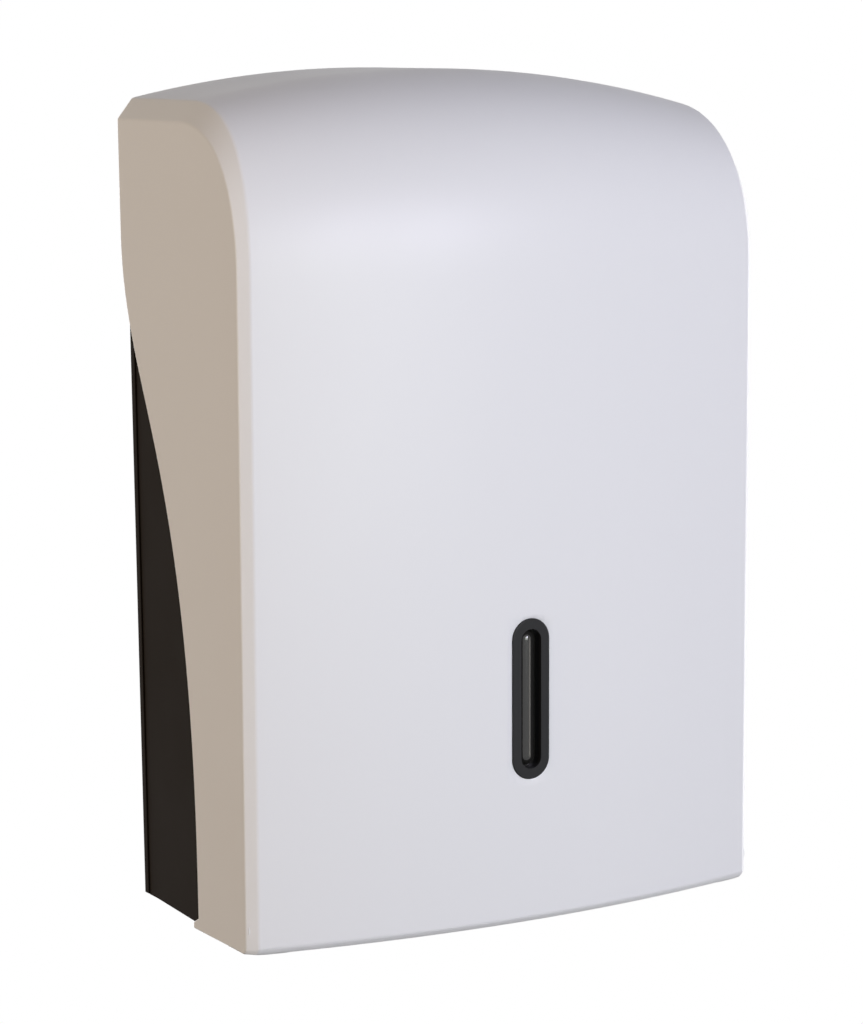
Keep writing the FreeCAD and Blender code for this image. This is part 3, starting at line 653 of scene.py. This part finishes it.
def slab(form, outline, x_low, x_high, soft=0.3):
    """A flat plate with an outline of (y, z) points, from one X to another."""
    part = bmesh.new()
    face = part.faces.new([part.verts.new(place(x_low, y, z)) for y, z in outline])
    made = bmesh.ops.extrude_face_region(part, geom=[face])
    moved = [item for item in made["geom"] if isinstance(item, bmesh.types.BMVert)]
    bmesh.ops.translate(part, vec=((x_high - x_low) * MM, 0, 0), verts=moved)
    bmesh.ops.recalc_face_normals(part, faces=part.faces)
    bmesh.ops.bevel(part, geom=part.edges[:], offset=soft * MM, offset_type="OFFSET", segments=2,
                    profile=0.5, affect="EDGES", material=-1)
    join(form, part)


boss_start = 130.9
boss_end = 141.2
boss_radius = 6.5
pin_hole = 2.52
pin_hole_end = boss_start + 7
edge_break = 0.3
rib_side = 60
rib_half = 1
rib_low = 34
rib_high = 300
rib_tall = 4
rib_root = 1.3
stop_start = 119.6
stop_rib = [(-39.8, 349.9), (-37.3, 349.9), (-37.3, 379.9), (-39.8, 379.9)]
pad_hole = 8.05
pad_radius = 13
lock_seat = 412.95
lock_pad_low = 407.55
for side in (-1, 1):
    turn = Matrix.Rotation(side * math.pi / 2, 4, "Y")
    centre = Matrix.Translation(place(0, -hinge_depth, hinge_height))
    turned(cover, [(0, pin_hole_end), (pin_hole, pin_hole_end), (pin_hole, boss_start),
                   (boss_radius - edge_break, boss_start), (boss_radius, boss_start + edge_break),
                   (boss_radius, boss_end), (0, boss_end)], centre @ turn)
    x = side * rib_side
    face = front_depth(rib_side + 2 * rib_half, 0) - cover_wall
    low, high = -face - lean * rib_low, -face - lean * rib_high
    slab(cover, [(low - rib_root, rib_low), (high - rib_root, rib_high), (high, rib_high + rib_tall),
                 (high + rib_tall, rib_high), (low + rib_tall, rib_low)], x - rib_half, x + rib_half)
    slab(cover, stop_rib, *sorted((side * stop_start, side * boss_end)))
turned(cover, [(pad_hole, lock_pad_low), (pad_radius - edge_break, lock_pad_low),
               (pad_radius, lock_pad_low + edge_break), (pad_radius, lock_seat), (pad_hole, lock_seat)],
       Matrix.Translation(place(0, -lock_depth, 0)), closed=True)
front_shell = even_normals(new_piece("front_shell", cover, "cover", abs_satin_white))
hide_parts("front_cover")
print("front shell faces", len(front_shell.data.polygons))

# %% [markdown]
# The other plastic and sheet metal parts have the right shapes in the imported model,
# but their edges are sharp and their faces are loose triangles. A copy of each is
# merged, its flat triangles are joined, and its edges are rounded a little.

# %% Round the edges of the plainer parts
weld = 2e-6
flat = math.radians(0.4)
sharp = math.radians(32)


def softened(node, body, material, radius):
    """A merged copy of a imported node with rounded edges, which stands for it."""
    part = bmesh.new()
    part.from_mesh(frame["nodes"][node].data)
    bmesh.ops.remove_doubles(part, verts=part.verts, dist=weld)
    bmesh.ops.dissolve_limit(part, angle_limit=flat, verts=part.verts, edges=part.edges)
    edges = [edge for edge in part.edges if edge.is_manifold and edge.calc_face_angle() > sharp]
    bmesh.ops.bevel(part, geom=edges, offset=radius * MM, offset_type="OFFSET", segments=2,
                    profile=0.5, affect="EDGES", material=-1)
    piece = even_normals(new_piece(node + "_moulding", part, body, material))
    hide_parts(node)
    print(node, "faces", len(piece.data.polygons))
    return piece


for name in ("tray", "tray_wall_right", "tray_wall_left"):
    softened(name, "base", abs_grained_black, 0.35)
softened("throat_plate", "base", abs_dark_grey, 0.3)
for name in ("towel_guide_right", "towel_guide_left"):
    softened(name, "base", abs_mid_grey, 0.3)
softened("keeper_plate", "base", zinc_plated_steel, 0.2)
softened("window_retainer", "cover", abs_smooth_charcoal, 0.3)

# %% [markdown]
# The dispenser hangs on a wall, so its floor is well below it. The floor is pale
# and keeps the shadow, and to the camera it is lifted towards white, as paper is
# in a catalogue. The world is white to the camera and to reflections only, and
# gives next to no light of its own, so the lamps alone shape the cover.

# %% Floor
floor_drop = 1.9
floor_half = 4.0
paper_lift = 0.75
floor_white = "#D8D8D8"


def seen_or_mirrored(tree):
    """1 for rays from the camera and for those that the object mirrors or lets through."""
    rays = add(tree, "ShaderNodeLightPath")
    seen = rays.outputs["Is Camera Ray"]
    for kind in ("Is Glossy Ray", "Is Transmission Ray"):
        more = rays.outputs[kind]
        seen = add(tree, "ShaderNodeMath", {"operation": "MAXIMUM"}, _0=seen, _1=more).outputs[0]
    return seen


floor_mesh = bpy.data.meshes.new("floor")
form = bmesh.new()
bmesh.ops.create_grid(form, x_segments=1, y_segments=1, size=floor_half)
bmesh.ops.translate(form, vec=(0, 0, -floor_drop), verts=form.verts)
form.to_mesh(floor_mesh)
form.free()
floor = bpy.data.objects.new("floor", floor_mesh)
bpy.context.scene.collection.objects.link(floor)
paper, tree, shader = new_material("white_paper")
shader.inputs["Base Color"].default_value = linear(floor_white)
shader.inputs["Roughness"].default_value = 0.9
shader.inputs["Emission Color"].default_value = (1, 1, 1, 1)
lift = add(tree, "ShaderNodeMath", {"operation": "MULTIPLY"}, _0=seen_or_mirrored(tree), _1=paper_lift)
tree.links.new(lift.outputs[0], shader.inputs["Emission Strength"])
floor_mesh.materials.append(paper)
print("floor", floor_half * 2, "m wide")

# %% World
room_light = 0.03
world = bpy.data.worlds.new("studio")
bpy.context.scene.world = world
world.use_nodes = True
tree = world.node_tree
tree.nodes.clear()
room = add(tree, "ShaderNodeBackground", Color=linear("#F2EEEA"), Strength=room_light)
white = add(tree, "ShaderNodeBackground", Color=(1, 1, 1, 1), Strength=1.0)
both = add(tree, "ShaderNodeMixShader", _0=seen_or_mirrored(tree), _1=room.outputs[0], _2=white.outputs[0])
add(tree, "ShaderNodeOutputWorld", Surface=both.outputs[0])
print("world", world.name)

# %% [markdown]
# The light is that of a room with windows in front. A small bright one stands high on
# the right and makes the front brightest near the shoulder, and a wide one evens it
# out. Both are about two metres away, as the cover nears them when it swings out. A
# warm glow from the left colours the side. They stand low enough for the crown to
# stay darker than the front. A narrow pane on the right draws the upright highlight
# on the level window. Two low fills are for the views from behind.

# %% Lamps


def lamp(name, stand, aim, size, power, colour, tall=1):
    """An area lamp that points at a place, as many times taller than wide as said."""
    data = bpy.data.lights.new(name, "AREA")
    data.shape = "RECTANGLE"
    data.size = size
    data.size_y = size * tall
    data.energy = power
    data.color = linear(colour)[:3]
    made = bpy.data.objects.new(name, data)
    bpy.context.scene.collection.objects.link(made)
    made.location = stand
    made.rotation_mode = "QUATERNION"
    made.rotation_quaternion = (Vector(aim) - Vector(stand)).to_track_quat("-Z", "Y")
    return made


aim = (0, -0.08, 0)
lamp("high_window", (0.476, -2.141, 0.606), aim, 0.5, 20.5, "#EBE6FF")
lamp("wide_window", (0.118, -1.773, 0.089), aim, 0.8, 13.3, "#F7FFF4")
lamp("left_glow", (-1.487, -0.08, 0.209), aim, 1.0, 10.3, "#FFEACD")
lamp("right_pane", (0.83, -0.98, -0.344), window_centre, 0.1, 0.4, "#FFF6E8", tall=4)
lamp("right_fill", (1.87, 0.6, -0.17), aim, 1.2, 9.0, "#FFFFFF")
lamp("back_fill", (0.34, 1.85, -0.42), aim, 1.2, 8.0, "#FFFFFF")
print("lamps", len(bpy.data.lights))

# %% View
bpy.context.scene.view_settings.view_transform = "Standard"
print("view transform", bpy.context.scene.view_settings.view_transform)
